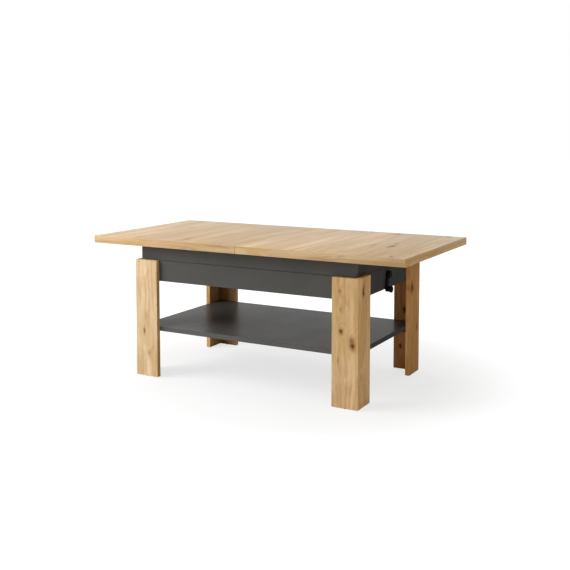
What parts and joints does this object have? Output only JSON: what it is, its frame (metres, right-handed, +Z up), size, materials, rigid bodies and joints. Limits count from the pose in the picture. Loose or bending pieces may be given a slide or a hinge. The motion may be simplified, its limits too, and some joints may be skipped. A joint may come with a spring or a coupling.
{
  "type": "height-adjustable coffee table",
  "caption": "Rectangular oak coffee table on mitred board legs with a dark apron and shelf; a crank raises the top and its halves slide apart.",
  "frame": {"origin": "on the floor, under the middle of the closed top", "axes": "+X along the table towards the crank end, -Y to the front, +Z up"},
  "size_m": [1.3, 0.65, 0.54],
  "materials": {
    "oak_top": "satin oak veneer",
    "oak_leg": "satin oak veneer, grain upright",
    "grey_board": "satin dark grey board",
    "beech": "plain sawn",
    "zinc_steel": "zinc plated",
    "aluminium_rail": "drawn",
    "black_paint": "satin black",
    "black_plastic": "matt black"
  },
  "bodies": {
    "base": {"front_left_leg_face": "oak_leg", "front_left_leg_side": "oak_leg", "front_right_leg_face": "oak_leg", "front_right_leg_side": "oak_leg", "back_right_leg_face": "oak_leg", "back_right_leg_side": "oak_leg", "back_left_leg_face": "oak_leg", "back_left_leg_side": "oak_leg", "apron_front": "grey_board", "apron_back": "grey_board", "apron_left": "grey_board", "apron_right": "grey_board", "floor_glides": "black_plastic", "leg_dowels": "beech", "apron_corner_blocks": "beech", "shelf": "grey_board", "shelf_brackets": "black_paint", "bearers": "beech", "base_rails": "zinc_steel", "base_end_plates": "zinc_steel", "base_pivot_pins": "zinc_steel", "rail_screws": "zinc_steel", "crank_bush": "black_plastic"},
    "lift_frame": {"frame_front": "grey_board", "frame_back": "grey_board", "frame_left": "grey_board", "frame_right": "grey_board", "frame_corner_blocks": "beech", "lift_rails": "zinc_steel", "lift_end_plates": "zinc_steel", "lift_pivot_pins": "zinc_steel", "runner_channels": "aluminium_rail", "leaf_lower_half": "oak_top", "leaf_upper_half": "oak_top", "leaf_hinges": "zinc_steel", "leaf_cradles": "zinc_steel"},
    "left_top": {"left_top_panel": "oak_top", "left_runners": "aluminium_rail", "left_runner_screws": "zinc_steel", "seam_pegs": "beech"},
    "right_top": {"right_top_panel": "oak_top", "right_runners": "aluminium_rail", "right_runner_screws": "zinc_steel"},
    "inner_scissor": {"inner_arm_front": "zinc_steel", "inner_arm_back": "zinc_steel", "inner_cross_tubes": "zinc_steel", "centre_pins": "zinc_steel", "roller_axles": "zinc_steel"},
    "outer_scissor": {"outer_arm_front": "zinc_steel", "outer_arm_back": "zinc_steel", "outer_cross_tube": "zinc_steel", "draw_shafts": "zinc_steel"},
    "upper_rollers": {"upper_rollers": "black_plastic"},
    "lower_rollers": {"lower_rollers": "black_plastic"},
    "nut": {"draw_nut": "zinc_steel"},
    "crank": {"lift_screw": "zinc_steel", "crank_arm": "black_paint"},
    "knob": {"crank_knob": "black_plastic"}
  },
  "joints": [
    {"name": "lift", "type": "slide", "parent": "base", "child": "lift_frame", "axis": [0, 0, 1], "range_m": [0, 0.18]},
    {"name": "left_top_slide", "type": "slide", "parent": "lift_frame", "child": "left_top", "axis": [-1, 0, 0], "range_m": [0, 0.2]},
    {"name": "right_top_slide", "type": "slide", "parent": "lift_frame", "child": "right_top", "axis": [1, 0, 0], "range_m": [0, 0.2]},
    {"name": "inner_scissor_swing", "type": "hinge", "parent": "base", "child": "inner_scissor", "pos_m": [-0.4, 0, 0.428], "axis": [0, -1, 0], "range_deg": [0, 13.2]},
    {"name": "outer_scissor_swing", "type": "hinge", "parent": "lift_frame", "child": "outer_scissor", "pos_m": [-0.4, 0, 0.4962], "axis": [0, 1, 0], "range_deg": [0, 13.2]},
    {"name": "nut_swing", "type": "hinge", "parent": "outer_scissor", "child": "nut", "pos_m": [0.394, 0, 0.428], "axis": [0, -1, 0], "range_deg": [0, 13.2]},
    {"name": "crank_turn", "type": "hinge", "parent": "base", "child": "crank", "pos_m": [0.457, 0, 0.428], "axis": [-1, 0, 0], "range_deg": [0, 4406]},
    {"name": "knob_spin", "type": "hinge", "parent": "crank", "child": "knob", "pos_m": [0.4724, -0.014, 0.376], "axis": [1, 0, 0], "continuous": true},
    {"name": "upper_roller_spin", "type": "hinge", "parent": "inner_scissor", "child": "upper_rollers", "pos_m": [0.394, 0, 0.4962], "axis": [0, 1, 0], "continuous": true},
    {"name": "lower_roller_spin", "type": "hinge", "parent": "outer_scissor", "child": "lower_rollers", "pos_m": [0.394, 0, 0.428], "axis": [0, 1, 0], "continuous": true}
  ],
  "couplings": [
    {"joint": "inner_scissor_swing", "follows": "lift", "rad_per_m": 1.2784},
    {"joint": "outer_scissor_swing", "follows": "lift", "rad_per_m": 1.2784},
    {"joint": "nut_swing", "follows": "lift", "rad_per_m": 1.2784},
    {"joint": "crank_turn", "follows": "lift", "rad_per_m": 427.17}
  ]
}
